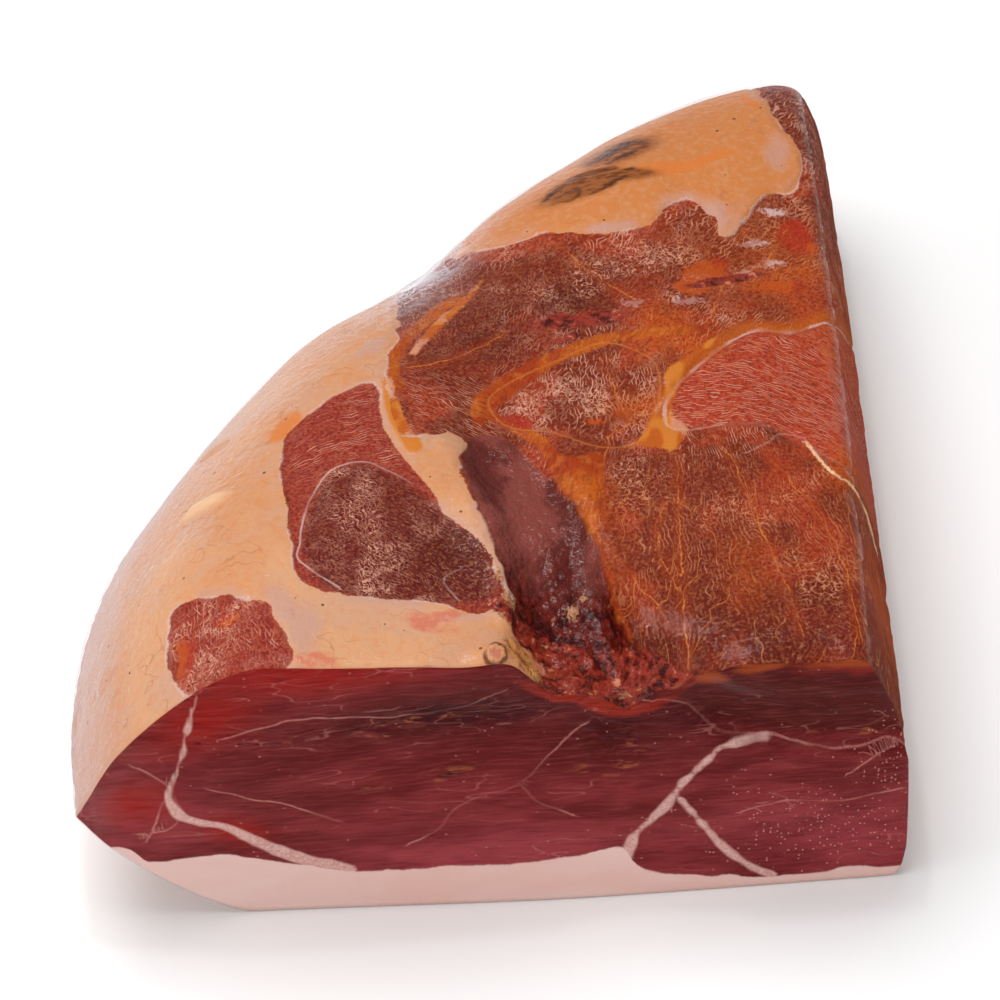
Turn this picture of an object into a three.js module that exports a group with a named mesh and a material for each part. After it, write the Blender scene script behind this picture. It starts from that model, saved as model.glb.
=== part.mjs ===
// A boned piece of dry-cured ham in skin-tight clear film, lying on its fat side.
// Frame: millimetres, +Z up. The clean cut faces -Y and the shank end points to +Y.
// The body is a row of upright sections, one behind the other, closed at the front by the cut.
import * as THREE from "three";

// Driving dimensions
const THICKNESS = 101; // top above the table, at the left shoulder of the cut
const WIDEST_LEVEL = 46; // height at which the outline below is reached
const RIGHT_SIDE = 103; // x of the flat right side at table level
const RIGHT_FLARE = 1.5; // how much wider that side stands at the shank end
const CORNER_RADIUS = 16; // plan radius where the right side meets the shank end
const FALL_TO_SHANK = 0.105; // drop of the top for each millimetre towards the shank
const FALL_TO_RIGHT = 0.035; // the same, towards the right side
const SHOULDER_X = -59; // where the top of the cut is highest
const FLANK_TOP = 50; // width over which the upper flank rounds over, at the cut
const FLANK_TOP_SHANK = 44; // the same, towards the shank
const FLANK_BASE = 44; // width over which the lower flank draws in to the table
const UPPER_POWER = 1.85; // how full the upper flank is: 1 would be a straight bevel
const LOWER_POWER = 1.4; // the same for the lower flank
const RIM_ROUND = 3; // rounding where both meet
const SIDE_ROUND = 9; // rounding at the top of the right side
const BASE_ROUND = 3; // rounding at its foot
const SHANK_ROUND = 12; // rounding at the top of the back corner
const SHANK_BASE_ROUND = 8; // rounding at its foot
const FRONT_ROUND = 2.5; // softening of the cut's upper edge
const FRONT_DROP = 1.2; // how far that edge is drawn down

const MIDDLE = [-7.43, 116.27]; // centre of the finished piece in plan, moved to the origin

// Left and back outline at the widest level, in plan, from ahead of the cut to past the shank
const OUTLINE = [
  [-118, -40], [-118, 0], [-118, 25], [-114.5, 53], [-105, 80], [-90, 104],
  [-74, 125], [-56, 143], [-36, 156], [-17, 170], [3, 191], [27, 208],
  [52, 224], [76, 234.5], [99, 237], [125, 237],
];
// Middle line of the hollow that the thigh bone left, in plan
const HOLLOW = [[16, -40], [15, -8], [12, 10], [10, 32], [6, 54], [-2, 78]];
const HOLLOW_DEPTH = 14;
const HOLLOW_END_DEPTH = 4;
const HOLLOW_HALF_WIDTH = 20;
const HOLLOW_END_HALF_WIDTH = 15;
// Line on the cut under the muscle that overhangs it at the right, as [x, z]
const SEAM = [[30, 76], [40, 69], [56, 60], [70, 56], [84, 54], [110, 54]];
const SEAM_RECESS = 3.5;
const LIP_OVERHANG = 2;
const LIP_ABOVE_SEAM = 26;
// Swellings and dips of the top: [height, x, y, radius in x, radius in y, turn in degrees]
const SWELLINGS = [
  [4, -45, 55, 45, 60, 0], // crest over the flank
  [-5, 8, 0, 40, 45, 0], // sag towards the hollow
  [-5, 82, -12, 42, 20, 0], // the overhanging muscle rolls down at the cut
  [5, 60, 203, 60, 30, 30], // fat over the shank end
  [-5, -27, 160, 16, 20, 30], // waist in the back outline
  [2.5, -9, 3, 6, 6, 0], // knob of fat beside the hollow's mouth
  [-13, 32, -4, 13, 13, -25], // the mouth of the hollow opens to the right
  [3, 12, 3, 17, 4, 0], // torn flap across the mouth
  [2, -12, 55, 7, 26, 15], // fat ridge along the hollow
  [1.6, 62, 70, 26, 60, 8], // large muscle at the right
  [1.8, -36, 62, 22, 30, -20], // muscle in the flank fat
];
// Slow waves over the whole top: [height, wavelength, direction in degrees, phase]
const WAVES = [[0.7, 83, 20, 0.6], [0.6, 57, 100, 2.1], [0.45, 38, 150, 4.0]];
// Dishing and toe of the cut face: [depth into the piece, x, z, radius in x, radius in z]
const CUT_RELIEF = [[2.6, -12, 72, 52, 17], [-1.6, 35, 22, 60, 20], [-1.5, -70, 62, 26, 22]];
const TOE = 3.2; // how far the fat at the foot of the cut stands forward, from the middle rightwards
const TOE_HEIGHT = 24;
const LEAN_FRONT = 0.11; // inward lean of the right side at the cut, for each millimetre of height
const LEAN_BACK = 0.02;
const LEAN_FADE = 75;

// How finely the form is cut into triangles
const COLUMNS = 62; // from left to right in each section
const SECTIONS = 38; // from the cut to the shank end
const SECTION_CROWDING = 1.15; // spaces them wider at the cut, closer at the shank end
const CUT_ROWS = [0.08, 0.18, 0.28, 0.34, 0.4, 0.46, 0.6, 0.75, 0.88]; // heights of the rows that close the cut
const PROFILE_STEPS = 500; // samples along one section before they are spaced out

const smooth = THREE.MathUtils.smoothstep; // (value, low, high)
const radians = THREE.MathUtils.degToRad;
const clamp01 = (v) => Math.min(Math.max(v, 0), 1);
const mix = THREE.MathUtils.lerp;

const curve = (points) =>
  new THREE.SplineCurve(points.map(([x, y]) => new THREE.Vector2(x, y))).getPoints((points.length - 1) * 10);
const outline = curve(OUTLINE);
const hollow = curve(HOLLOW);
const seam = curve(SEAM);

// Distance from a point to a line of points, its side (1 at the right hand) and the share of the line passed
function measure(line, x, y) {
  let nearest = Infinity;
  let side = 1;
  let passed = 0;
  for (let i = 0; i + 1 < line.length; i++) {
    const ax = x - line[i].x;
    const ay = y - line[i].y;
    const ux = line[i + 1].x - line[i].x;
    const uy = line[i + 1].y - line[i].y;
    const t = clamp01((ax * ux + ay * uy) / (ux * ux + uy * uy));
    const square = (ax - t * ux) ** 2 + (ay - t * uy) ** 2;
    if (square < nearest) {
      nearest = square;
      side = ux * ay - uy * ax > 0 ? -1 : 1;
      passed = i + t;
    }
  }
  return { distance: Math.sqrt(nearest), side, share: passed / (line.length - 1) };
}

// Height of a line of points, read at one x
function levelAt(line, x) {
  const i = Math.max(1, line.findIndex((p) => p.x >= x));
  const t = clamp01((x - line[i - 1].x) / (line[i].x - line[i - 1].x));
  return line[i - 1].y + t * (line[i].y - line[i - 1].y);
}

function swelling(x, y, cx, cy, rx, ry, turn = 0) {
  const c = Math.cos(radians(turn));
  const s = Math.sin(radians(turn));
  const u = ((x - cx) * c + (y - cy) * s) / rx;
  const v = ((y - cy) * c - (x - cx) * s) / ry;
  return Math.exp(-u * u - v * v);
}

// The top as it would be if it ran on past every side
function topLevel(x, y) {
  let z = THICKNESS - FALL_TO_SHANK * Math.max(y, 0) - FALL_TO_RIGHT * (x - SHOULDER_X);
  for (const [height, ...place] of SWELLINGS) z += height * swelling(x, y, ...place);
  for (const [height, length, turn, phase] of WAVES) {
    const along = x * Math.cos(radians(turn)) + y * Math.sin(radians(turn));
    z += height * Math.sin((along / length) * 2 * Math.PI + phase);
  }
  const { distance, share } = measure(hollow, x, y);
  const half = mix(HOLLOW_HALF_WIDTH, HOLLOW_END_HALF_WIDTH, smooth(share, 0.35, 0.7));
  const depth = mix(HOLLOW_DEPTH, HOLLOW_END_DEPTH, smooth(share, 0.3, 0.8));
  z -= depth * (1 - smooth(distance / half, 0.35, 1)) * (1 - 0.5 * smooth(share, 0.85, 1));
  return z - FRONT_DROP * Math.exp(-y / FRONT_ROUND);
}

const rightSide = (y) => RIGHT_SIDE + RIGHT_FLARE * smooth(y, 60, 200);

// How far a plan point lies inside the flank, the right side and the back corner
function insets(x, y) {
  const { distance, side, share } = measure(outline, x, y);
  const flank = distance * side;
  const right = rightSide(y) - x;
  const past = Math.hypot(Math.max(CORNER_RADIUS - flank, 0), Math.max(CORNER_RADIUS - right, 0));
  const back = CORNER_RADIUS - past;
  return { flank, right, back, share, least: Math.min(flank, right, back) };
}

// A quarter of a rounded curve, rising from 0 at the rim to 1
const rounded = (q) => Math.sqrt(1 - (1 - clamp01(q)) ** 2);
const leaning = (q, power) => 1 - Math.pow(1 - clamp01(q), power);

function levels(x, y) {
  const { flank, right, back, share } = insets(x, y);
  const inward = Math.max(flank, 0);
  const eased = Math.sqrt(inward * (inward + 2 * RIM_ROUND));
  const width = mix(FLANK_TOP, FLANK_TOP_SHANK, smooth(share, 0.3, 0.6)) + RIM_ROUND;
  const slope = mix(leaning(eased / width, UPPER_POWER), rounded(eased / width), smooth(share, 0.25, 0.6));
  const upper = slope * rounded(right / SIDE_ROUND) * rounded(back / SHANK_ROUND);
  const draw = leaning(eased / (FLANK_BASE + RIM_ROUND), LOWER_POWER);
  const lower = draw * rounded(right / BASE_ROUND) * rounded(back / SHANK_BASE_ROUND);
  return {
    top: WIDEST_LEVEL + (topLevel(x, y) - WIDEST_LEVEL) * upper,
    base: WIDEST_LEVEL * (1 - lower),
  };
}

// Where the plan is entered and left, along a line from left to right
function reach(y) {
  const step = 0.5;
  const ends = [];
  let before = insets(-130, y).least;
  for (let x = -130 + step; x < 115; x += step) {
    const now = insets(x, y).least;
    if (now > 0 !== before > 0) ends.push(x - (step * now) / (now - before));
    before = now;
  }
  return ends.length ? [ends[0], ends[ends.length - 1]] : null;
}

// One upright section: columns from left to right, evenly spaced along its top, each with its two heights
function section(y) {
  const [low, high] = reach(y);
  const fine = [];
  const run = [0];
  for (let i = 0; i <= PROFILE_STEPS; i++) {
    const x = mix(low, high, (1 - Math.cos((Math.PI * i) / PROFILE_STEPS)) / 2);
    fine.push({ x, ...levels(x, y) });
    if (i > 0) run.push(run[i - 1] + Math.hypot(x - fine[i - 1].x, fine[i].top - fine[i - 1].top));
  }
  const columns = [];
  for (let k = 0, i = 1; k <= COLUMNS; k++) {
    const wanted = (run[PROFILE_STEPS] * k) / COLUMNS;
    while (i < PROFILE_STEPS && run[i] < wanted) i++;
    const t = clamp01((wanted - run[i - 1]) / (run[i] - run[i - 1]));
    const between = (key) => mix(fine[i - 1][key], fine[i][key], t);
    columns.push({ x: between("x"), top: between("top"), base: between("base") });
  }
  return columns;
}

// How deep the cut face lies behind the plane y = 0
function cutDepth(x, z) {
  let depth = -TOE * (1 - smooth(z, 0, TOE_HEIGHT)) * smooth(x, -100, 20);
  for (const [height, ...place] of CUT_RELIEF) depth += height * swelling(x, z, ...place);
  const above = z - levelAt(seam, x);
  const here = smooth(x, 34, 50);
  depth += here * SEAM_RECESS * smooth(above, -6, 2) * (1 - smooth(above, 3, LIP_ABOVE_SEAM));
  depth -= here * LIP_OVERHANG * smooth(above, LIP_ABOVE_SEAM - 12, LIP_ABOVE_SEAM);
  return depth;
}

// Moves a point of the plain sections to its place: the right side leans in, the cut has its relief
function settle([x, y, z]) {
  const lean = LEAN_BACK + (LEAN_FRONT - LEAN_BACK) * Math.exp(-y / LEAN_FADE);
  const moved = x - lean * z * smooth(x, 20, RIGHT_SIDE);
  return [moved, y + cutDepth(moved, z) * (1 - smooth(y, 0, 32)), z];
}

// The last section that still has some width
function shankEnd() {
  let [near, far] = [200, 260];
  while (far - near > 0.01) {
    const y = (near + far) / 2;
    if (reach(y)) near = y;
    else far = y;
  }
  return near - 0.3;
}

function hamGeometry() {
  const position = [];
  const index = [];
  const point = (x, y, z) => position.push(...settle([x, y, z])) / 3 - 1;
  const span = (a, b) => Math.hypot(...[0, 1, 2].map((k) => position[3 * a + k] - position[3 * b + k]));
  const quad = (a, b, c, d) => {
    if (span(a, c) < span(b, d)) index.push(a, b, c, a, c, d);
    else index.push(a, b, d, b, c, d);
  };

  // Sections one behind the other, each a loop over the top and back under the base
  const end = shankEnd();
  const loops = [];
  let cut;
  for (let j = 0; j < SECTIONS; j++) {
    const y = end * Math.sin(((Math.PI / 2) * j) / (SECTIONS - 1)) ** SECTION_CROWDING;
    const columns = section(y);
    const top = columns.map((c) => point(c.x, y, c.top));
    const under = columns.slice(1, -1).map((c) => point(c.x, y, c.base));
    loops.push([...top, ...under.reverse()]);
    if (j === 0) cut = { columns, top, under: under.reverse() };
  }
  const around = loops[0].length;
  for (let j = 0; j + 1 < SECTIONS; j++)
    for (let i = 0; i < around; i++) {
      const next = (i + 1) % around;
      quad(loops[j][i], loops[j][next], loops[j + 1][next], loops[j + 1][i]);
    }

  // The cut, closed by rows between its top edge and its foot
  const inner = cut.columns.slice(1, -1);
  let above = cut.top.slice(1, -1);
  const left = cut.top[0];
  const right = cut.top[COLUMNS];
  const rows = [...CUT_ROWS.map((share) => inner.map((c) => point(c.x, 0, mix(c.top, c.base, share)))), cut.under];
  for (const row of rows) {
    index.push(left, row[0], above[0]);
    for (let i = 0; i + 1 < row.length; i++) quad(above[i], row[i], row[i + 1], above[i + 1]);
    index.push(right, above[above.length - 1], row[row.length - 1]);
    above = row;
  }

  // The shank end, closed the same way
  const last = loops[SECTIONS - 1];
  for (let i = 1; i < around - i; i++) {
    index.push(last[i - 1], last[i], last[around - i]);
    if (i + 1 < around - i) index.push(last[i], last[around - i - 1], last[around - i]);
  }

  const geometry = new THREE.BufferGeometry();
  geometry.setAttribute("position", new THREE.Float32BufferAttribute(position, 3));
  geometry.setIndex(index);
  geometry.translate(-MIDDLE[0], -MIDDLE[1], 0);
  geometry.computeVertexNormals();
  return geometry;
}

const ham = new THREE.Mesh(
  hamGeometry(),
  new THREE.MeshStandardMaterial({ color: 0x8c3a22, roughness: 0.38, metalness: 0 }),
);
ham.name = "ham";

const part = new THREE.Group();
part.add(ham);
export default part;
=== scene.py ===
# A boned piece of dry-cured ham in skin-tight clear film, on a pale table.
# The form is the same row of upright sections as the solid, cut finer, with the small relief added.
# Lines and patches are given in millimetres in the part's frame, on the plan for the outside and on
# the upright plane for the cut. They reach the materials as distances stored on the points.
import math

import bpy
import numpy as np
from mathutils import Matrix, Vector


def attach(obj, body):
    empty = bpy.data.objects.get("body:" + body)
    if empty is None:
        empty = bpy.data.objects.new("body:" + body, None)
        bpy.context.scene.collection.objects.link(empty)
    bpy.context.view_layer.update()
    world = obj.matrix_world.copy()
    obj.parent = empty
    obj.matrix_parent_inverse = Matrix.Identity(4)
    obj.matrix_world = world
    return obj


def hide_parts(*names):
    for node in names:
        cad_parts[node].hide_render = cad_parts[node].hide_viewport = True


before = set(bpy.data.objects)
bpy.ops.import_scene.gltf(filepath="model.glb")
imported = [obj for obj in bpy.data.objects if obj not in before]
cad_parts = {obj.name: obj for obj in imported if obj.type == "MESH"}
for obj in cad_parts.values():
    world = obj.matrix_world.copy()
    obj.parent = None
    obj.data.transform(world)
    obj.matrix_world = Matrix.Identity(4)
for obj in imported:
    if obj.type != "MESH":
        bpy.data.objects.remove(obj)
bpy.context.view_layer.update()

scene = bpy.context.scene

# Form, as in the solid

THICKNESS = 101
WIDEST_LEVEL = 46
RIGHT_SIDE = 103
RIGHT_FLARE = 1.5
CORNER_RADIUS = 16
FALL_TO_SHANK = 0.105
FALL_TO_RIGHT = 0.035
SHOULDER_X = -59
FLANK_TOP = 50
FLANK_TOP_SHANK = 44
FLANK_BASE = 44
UPPER_POWER = 1.85
LOWER_POWER = 1.4
RIM_ROUND = 3
SIDE_ROUND = 9
BASE_ROUND = 3
SHANK_ROUND = 12
SHANK_BASE_ROUND = 8
FRONT_ROUND = 2.5
FRONT_DROP = 1.2
MIDDLE = (-7.43, 116.27)
OUTLINE = [
    (-118, -40), (-118, 0), (-118, 25), (-114.5, 53), (-105, 80), (-90, 104),
    (-74, 125), (-56, 143), (-36, 156), (-17, 170), (3, 191), (27, 208),
    (52, 224), (76, 234.5), (99, 237), (125, 237),
]
HOLLOW = [(16, -40), (15, -8), (12, 10), (10, 32), (6, 54), (-2, 78)]
HOLLOW_DEPTH = 14
HOLLOW_END_DEPTH = 4
HOLLOW_HALF_WIDTH = 20
HOLLOW_END_HALF_WIDTH = 15
SEAM = [(30, 76), (40, 69), (56, 60), (70, 56), (84, 54), (110, 54)]
SEAM_RECESS = 3.5
LIP_OVERHANG = 2
LIP_ABOVE_SEAM = 26
SWELLINGS = [
    (4, -45, 55, 45, 60), (-5, 8, 0, 40, 45), (-5, 82, -12, 42, 20),
    (5, 60, 203, 60, 30, 30), (-5, -27, 160, 16, 20, 30), (2.5, -9, 3, 6, 6),
    (-13, 32, -4, 13, 13, -25), (3, 12, 3, 17, 4), (2, -12, 55, 7, 26, 15),
    (1.6, 62, 70, 26, 60, 8), (1.8, -36, 62, 22, 30, -20),
]
WAVES = [(0.7, 83, 20, 0.6), (0.6, 57, 100, 2.1), (0.45, 38, 150, 4)]
CUT_RELIEF = [(2.6, -12, 72, 52, 17), (-1.6, 35, 22, 60, 20), (-1.5, -70, 62, 26, 22)]
TOE = 3.2
TOE_HEIGHT = 24
LEAN_FRONT = 0.11
LEAN_BACK = 0.02
LEAN_FADE = 75

# How finely the meat and the film are cut

COLUMNS = 190
SECTIONS = 225
CUT_ROWS = 64
FILM_COLUMNS = 110
FILM_SECTIONS = 110
FILM_ROWS = 40
PROFILE_SAMPLES = 700  # finer points along a section, from which its columns are spaced evenly

# The film, in millimetres

FILM_GAP = 0.35
FILM_FLOOR = 0.05  # least height over the table
FILM_DIP = 0.93  # share of the hollow's depth that the film follows
FILM_CREASES = [(-9, 36, 30, 9, 52), (112, -70, 4, 60), (60, 112, 40, 8, 25)]
FLANK_CREASES = (-112, -60, 12, 60)
CREASE_HEIGHT = 0.9


def smooth(low, high, v):
    t = np.clip((v - low) / (high - low), 0, 1)
    return t * t * (3 - 2 * t)


def mix(a, b, t):
    return a + (b - a) * t


def curve(points, steps=10):
    """Smooth line through the points."""
    p = np.array([points[0], *points, points[-1]], float)
    t = np.arange(steps)[:, None] / steps
    parts = []
    for a, b, c, d in zip(p, p[1:], p[2:], p[3:]):
        m, n = (c - a) / 2, (d - b) / 2
        parts.append((2 * b - 2 * c + m + n) * t**3 + (-3 * b + 3 * c - 2 * m - n) * t**2 + m * t + b)
    return np.vstack([*parts, p[-1]])


def loop(points, steps=6):
    """Smooth closed line through the points."""
    p = [points[-1], *points, points[0], points[1]]
    return curve(p, steps)[steps:-steps]


def measure(line, x, y):
    """Distance to a line, its side (1 at the right hand) and the share of it that is passed."""
    x, y = np.asarray(x, float), np.asarray(y, float)
    u = np.diff(line, axis=0)
    square = (u**2).sum(1) + 1e-12
    distance, side, share = (np.empty(len(x)) for _ in range(3))
    for i in range(0, len(x), 8000):
        part = slice(i, i + 8000)
        ax = x[part, None] - line[None, :-1, 0]
        ay = y[part, None] - line[None, :-1, 1]
        t = np.clip((ax * u[:, 0] + ay * u[:, 1]) / square, 0, 1)
        d = (ax - t * u[:, 0]) ** 2 + (ay - t * u[:, 1]) ** 2
        k = d.argmin(1)
        row = np.arange(len(k))
        distance[part] = np.sqrt(d[row, k])
        cross = u[k, 0] * ay[row, k] - u[k, 1] * ax[row, k]
        side[part] = np.where(cross > 0, -1, 1)
        share[part] = (k + t[row, k]) / len(u)
    return distance, side, share


def inside(line, x, y):
    """Distance to a closed line, positive inside it."""
    distance = measure(line, x, y)[0]
    within = np.zeros(len(x), bool)
    for (ax, ay), (bx, by) in zip(line, line[1:]):
        crosses = (ay > y) != (by > y)
        within ^= crosses & (x < (bx - ax) * (y - ay) / (by - ay + 1e-12) + ax)
    return np.where(within, distance, -distance)


def swelling(x, y, cx, cy, rx, ry, turn=0):
    c, s = math.cos(math.radians(turn)), math.sin(math.radians(turn))
    u = ((x - cx) * c + (y - cy) * s) / rx
    v = ((y - cy) * c - (x - cx) * s) / ry
    return np.exp(-u * u - v * v)


def raised(marks, x, y):
    return sum(height * swelling(x, y, *place) for height, *place in marks)


outline, hollow, seam = curve(OUTLINE), curve(HOLLOW), curve(SEAM)


def top_level(x, y, hollow_share=1.0):
    z = THICKNESS - FALL_TO_SHANK * np.maximum(y, 0) - FALL_TO_RIGHT * (x - SHOULDER_X)
    z = z + raised(SWELLINGS, x, y)
    for height, length, turn, phase in WAVES:
        along = x * math.cos(math.radians(turn)) + y * math.sin(math.radians(turn))
        z = z + height * np.sin(along / length * 2 * math.pi + phase)
    distance, _, share = measure(hollow, x, y)
    half = mix(HOLLOW_HALF_WIDTH, HOLLOW_END_HALF_WIDTH, smooth(0.35, 0.7, share))
    depth = mix(HOLLOW_DEPTH, HOLLOW_END_DEPTH, smooth(0.3, 0.8, share)) * hollow_share
    z = z - depth * (1 - smooth(0.35, 1, distance / half)) * (1 - 0.5 * smooth(0.85, 1, share))
    return z - FRONT_DROP * np.exp(-y / FRONT_ROUND)


def insets(x, y):
    distance, side, share = measure(outline, x, y)
    flank = distance * side
    right = RIGHT_SIDE + RIGHT_FLARE * smooth(60, 200, y) - x
    past = np.hypot(np.maximum(CORNER_RADIUS - flank, 0), np.maximum(CORNER_RADIUS - right, 0))
    return flank, right, CORNER_RADIUS - past, share


def rounded(q):
    return np.sqrt(1 - (1 - np.clip(q, 0, 1)) ** 2)


def leaning(q, power):
    return 1 - (1 - np.clip(q, 0, 1)) ** power


def levels(x, y, hollow_share):
    """Height of the top and of the base over the plan points."""
    flank, right, back, share = insets(x, y)
    inward = np.maximum(flank, 0)
    eased = np.sqrt(inward * (inward + 2 * RIM_ROUND))
    width = mix(FLANK_TOP, FLANK_TOP_SHANK, smooth(0.3, 0.6, share)) + RIM_ROUND
    slope = mix(leaning(eased / width, UPPER_POWER), rounded(eased / width), smooth(0.25, 0.6, share))
    upper = slope * rounded(right / SIDE_ROUND) * rounded(back / SHANK_ROUND)
    lower = leaning(eased / (FLANK_BASE + RIM_ROUND), LOWER_POWER)
    lower = lower * rounded(right / BASE_ROUND) * rounded(back / SHANK_BASE_ROUND)
    top = WIDEST_LEVEL + (top_level(x, y, hollow_share) - WIDEST_LEVEL) * upper
    return top, WIDEST_LEVEL * (1 - lower)


def reach(y):
    """Where the plan is entered and left at this y, or None beyond the shank end."""
    x = np.arange(-130, 115, 0.5)
    flank, right, back, _ = insets(x, np.full(len(x), y))
    least = np.minimum(np.minimum(flank, right), back)
    k = np.nonzero((least[1:] > 0) != (least[:-1] > 0))[0]
    if len(k) == 0:
        return None
    ends = x[k] - 0.5 * least[k] / (least[k + 1] - least[k])
    return ends[0], ends[-1]


def section(y, columns, hollow_share):
    low, high = reach(y)
    x = mix(low, high, (1 - np.cos(np.linspace(0, math.pi, PROFILE_SAMPLES))) / 2)
    top, base = levels(x, np.full(len(x), y), hollow_share)
    run = np.concatenate([[0], np.cumsum(np.hypot(np.diff(x), np.diff(top)))])
    wanted = np.linspace(0, run[-1], columns + 1)
    return [np.interp(wanted, run, values) for values in (x, top, base)]


def cut_depth(x, z):
    """How deep the cut lies behind the plane y = 0."""
    depth = -TOE * (1 - smooth(0, TOE_HEIGHT, z)) * smooth(-100, 20, x)
    depth = depth + raised(CUT_RELIEF, x, z)
    above = z - np.interp(x, seam[:, 0], seam[:, 1])
    here = smooth(34, 50, x)
    depth = depth + here * SEAM_RECESS * smooth(-6, 2, above) * (1 - smooth(3, LIP_ABOVE_SEAM, above))
    return depth - here * LIP_OVERHANG * smooth(LIP_ABOVE_SEAM - 12, LIP_ABOVE_SEAM, above)


def settle(p):
    """Leans the right side in, gives the cut its relief and moves the piece to its frame."""
    x, y, z = p.T
    lean = mix(LEAN_BACK, LEAN_FRONT, np.exp(-y / LEAN_FADE))
    x = x - lean * z * smooth(20, RIGHT_SIDE, x)
    y = y + cut_depth(x, z) * (1 - smooth(0, 32, y))
    return np.stack([x - MIDDLE[0], y - MIDDLE[1], z], 1)


def shank_end():
    near, far = 200.0, 260.0
    while far - near > 0.01:
        y = (near + far) / 2
        near, far = (y, far) if reach(y) else (near, y)
    return near - 0.3


END = shank_end()


def body(columns, sections, rows, hollow_share=1.0):
    """Points, triangles and which triangles belong to the cut. The base has half the columns."""
    crowding = 1.15
    points, loops, count = [], [], 0
    for j in range(sections):
        y = END * math.sin(math.pi / 2 * j / (sections - 1)) ** crowding
        x, top, base = section(y, columns, hollow_share)
        points.append(np.stack([x, np.full(len(x), y), top], 1))
        under = np.arange(2, columns - 1, 2)[::-1]
        points.append(np.stack([x[under], np.full(len(under), y), base[under]], 1))
        loops.append(count + np.arange(columns + 1 + len(under)))
        count += len(loops[-1])
        if j == 0:
            front = (x, top, base)
    faces = []
    for near, far in zip(loops, loops[1:]):
        a, b, c, d = near, np.roll(near, -1), np.roll(far, -1), far
        faces += [np.stack([a, b, c], 1), np.stack([a, c, d], 1)]
    x, top, base = front
    foot = loops[0][columns + 1:][::-1]
    above = np.arange(1, columns)
    left, right = 0, columns
    cut = []
    for r in range(1, rows):
        z = mix(top, base, r / rows)[1:-1]
        points.append(np.stack([x[1:-1], np.zeros(len(z)), z], 1))
        row = count + np.arange(len(z))
        count += len(z)
        cut.append([(left, row[0], above[0]), (right, above[-1], row[-1])])
        cut += [np.stack([above[:-1], row[:-1], row[1:]], 1), np.stack([above[:-1], row[1:], above[1:]], 1)]
        above = row
    # The foot has a point under every second column
    ends = np.concatenate([[left], foot, [right]])
    ups = np.concatenate([[left], above, [right]])
    for k in range(len(ends) - 1):
        u = ups[2 * k:2 * k + 3]
        around = [(ends[k], ends[k + 1], u[1]), (ends[k], u[1], u[0]), (ends[k + 1], u[2], u[1])]
        cut.append([triangle for triangle in around if len(set(triangle)) == 3])
    last = loops[-1]
    tip = count
    points.append(np.vstack(points)[last].mean(0)[None])
    faces.append(np.stack([last, np.roll(last, -1), np.full(len(last), tip)], 1))
    cut = np.vstack([np.asarray(part, int).reshape(-1, 3) for part in cut])
    outside = np.vstack(faces)
    faces = np.vstack([outside, cut])
    is_cut = np.arange(len(faces)) >= len(outside)
    return settle(np.vstack(points)), faces, is_cut


def normals(p, faces):
    a, b, c = (p[faces[:, k]] for k in range(3))
    n = np.cross(b - a, c - a)
    out = np.zeros_like(p)
    for k in range(3):
        np.add.at(out, faces[:, k], n)
    return out / (np.linalg.norm(out, axis=1)[:, None] + 1e-12)


random = np.random.default_rng(7)
LATTICE = random.random((48, 48, 48))


def noise(p, size, offset=0.0):
    """Smooth random field between -1 and 1 with lumps of the given size."""
    q = p / size + offset
    i = np.floor(q).astype(int)
    f = q - i
    f = f * f * (3 - 2 * f)
    total = 0
    for corner in range(8):
        bits = [(corner >> k) & 1 for k in range(3)]
        weight = np.prod([f[:, k] if b else 1 - f[:, k] for k, b in enumerate(bits)], axis=0)
        total = total + weight * LATTICE[tuple((i[:, k] + bits[k]) % 48 for k in range(3))]
    return total * 2 - 1


def cloud(p, size, offset, octaves=3):
    """Mottled field about 0.5, from lumps of the given size down to finer ones."""
    total = sum(0.55**k * noise(p, size / 2**k, offset + 7.3 * k) for k in range(octaves))
    return np.clip(0.5 + 0.45 * total, 0, 1)


# Where the muscles, seams and marks lie on the outside, in plan

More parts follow.
